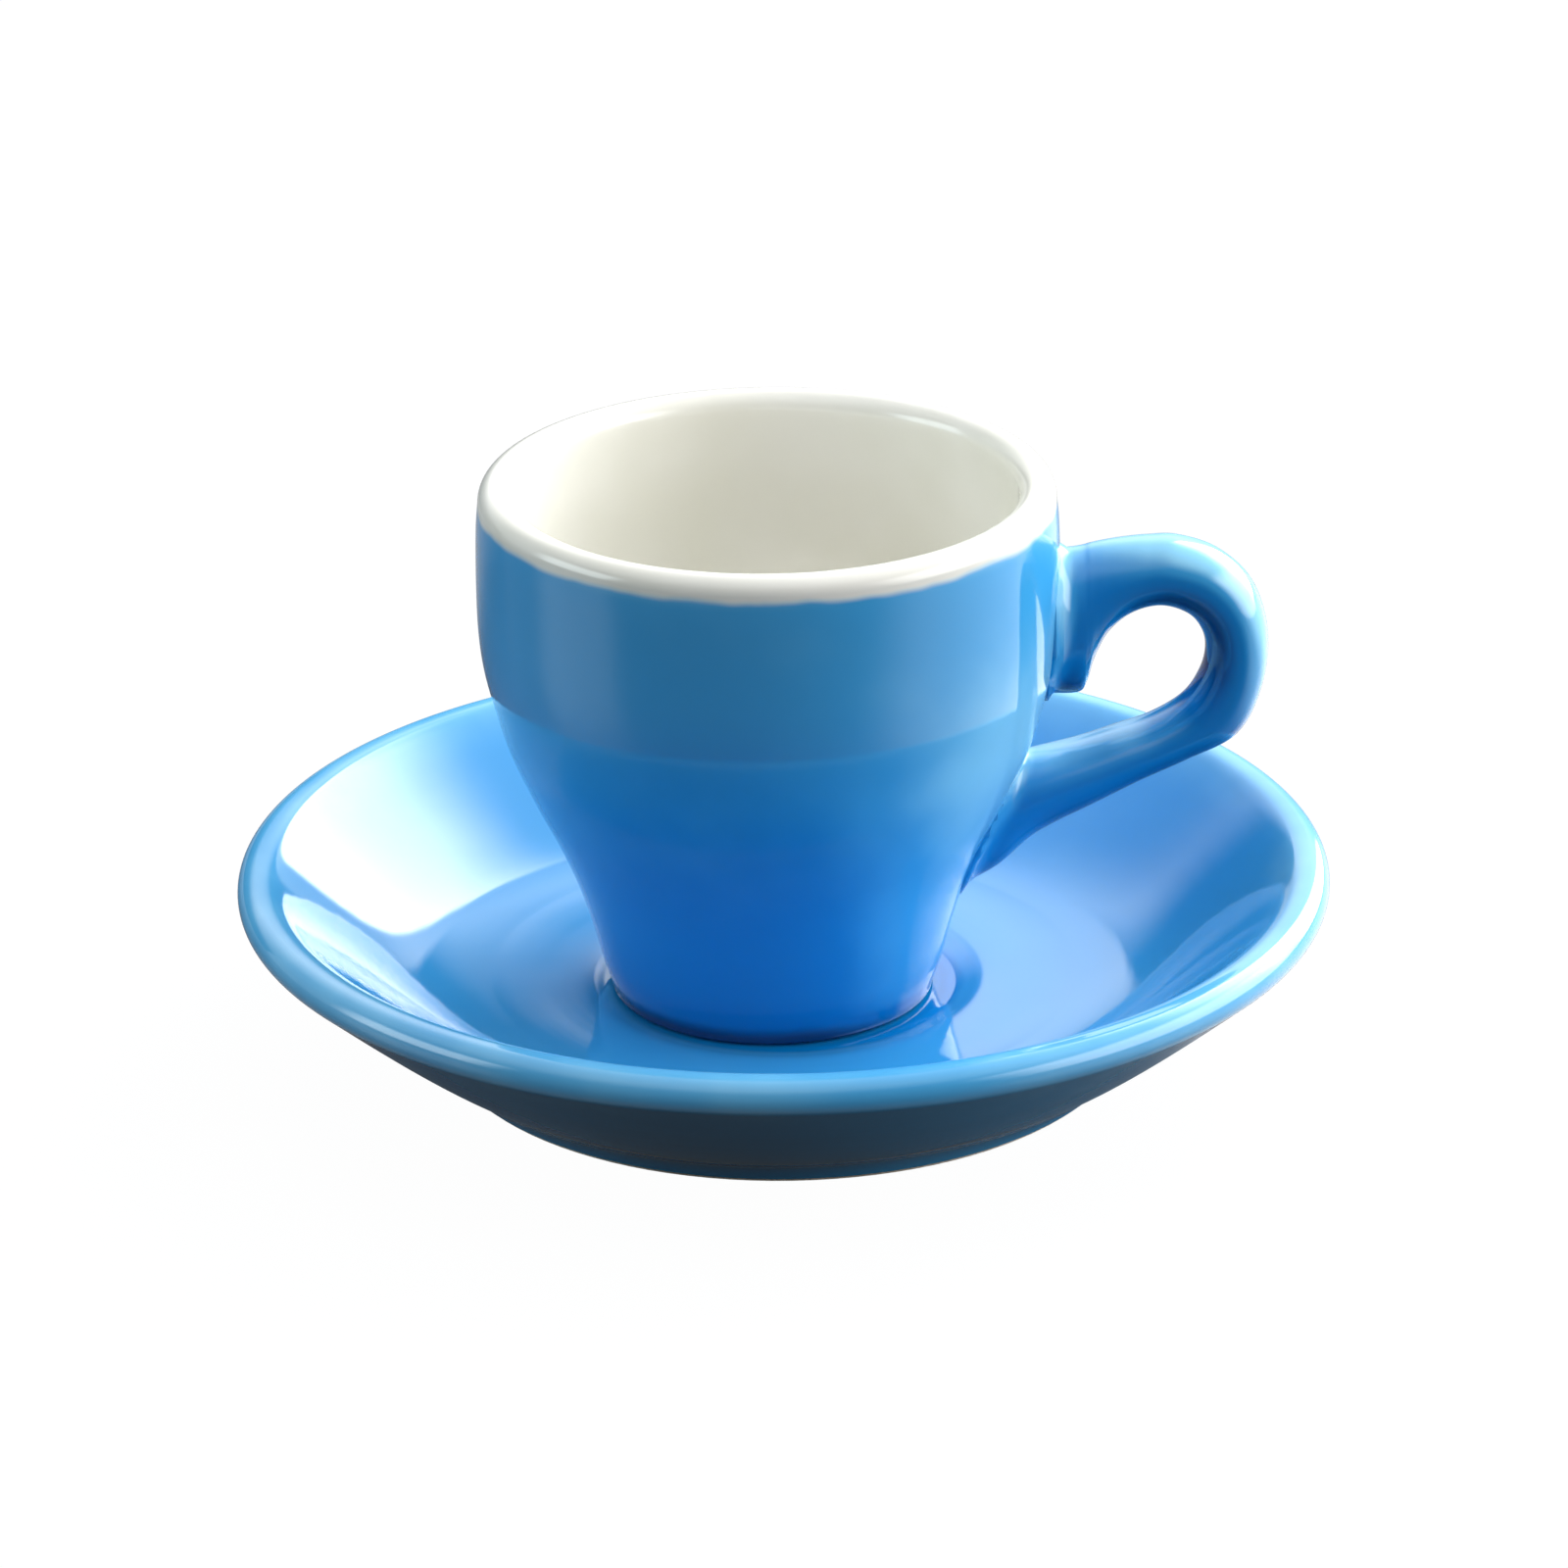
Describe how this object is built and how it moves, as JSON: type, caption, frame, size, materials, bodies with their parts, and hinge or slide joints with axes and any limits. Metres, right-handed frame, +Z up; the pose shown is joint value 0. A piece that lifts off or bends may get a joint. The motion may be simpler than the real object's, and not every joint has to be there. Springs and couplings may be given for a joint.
{
  "type": "espresso cup with saucer",
  "caption": "Small thick-walled porcelain cup with a loop handle, standing loose in the well of its deep glazed saucer.",
  "frame": {"origin": "on the table, at the axis of the saucer", "axes": "+Z up, +X towards the cup's handle"},
  "size_m": [0.12, 0.12, 0.0657],
  "materials": {
    "bare_porcelain": "unglazed, fine matt clay",
    "white_glaze": "glossy warm white glaze",
    "blue_glaze": "glossy sky blue glaze"
  },
  "bodies": {
    "saucer": {"saucer_body": "bare_porcelain", "saucer_glaze": "blue_glaze"},
    "cup": {"cup_body": "bare_porcelain", "cup_liner_glaze": "white_glaze", "cup_outer_glaze": "blue_glaze", "cup_handle": "blue_glaze"}
  },
  "joints": [
    {"name": "cup_lift", "type": "slide", "parent": "saucer", "child": "cup", "axis": [0, 0, 1], "range_m": [0, 0.1]}
  ]
}
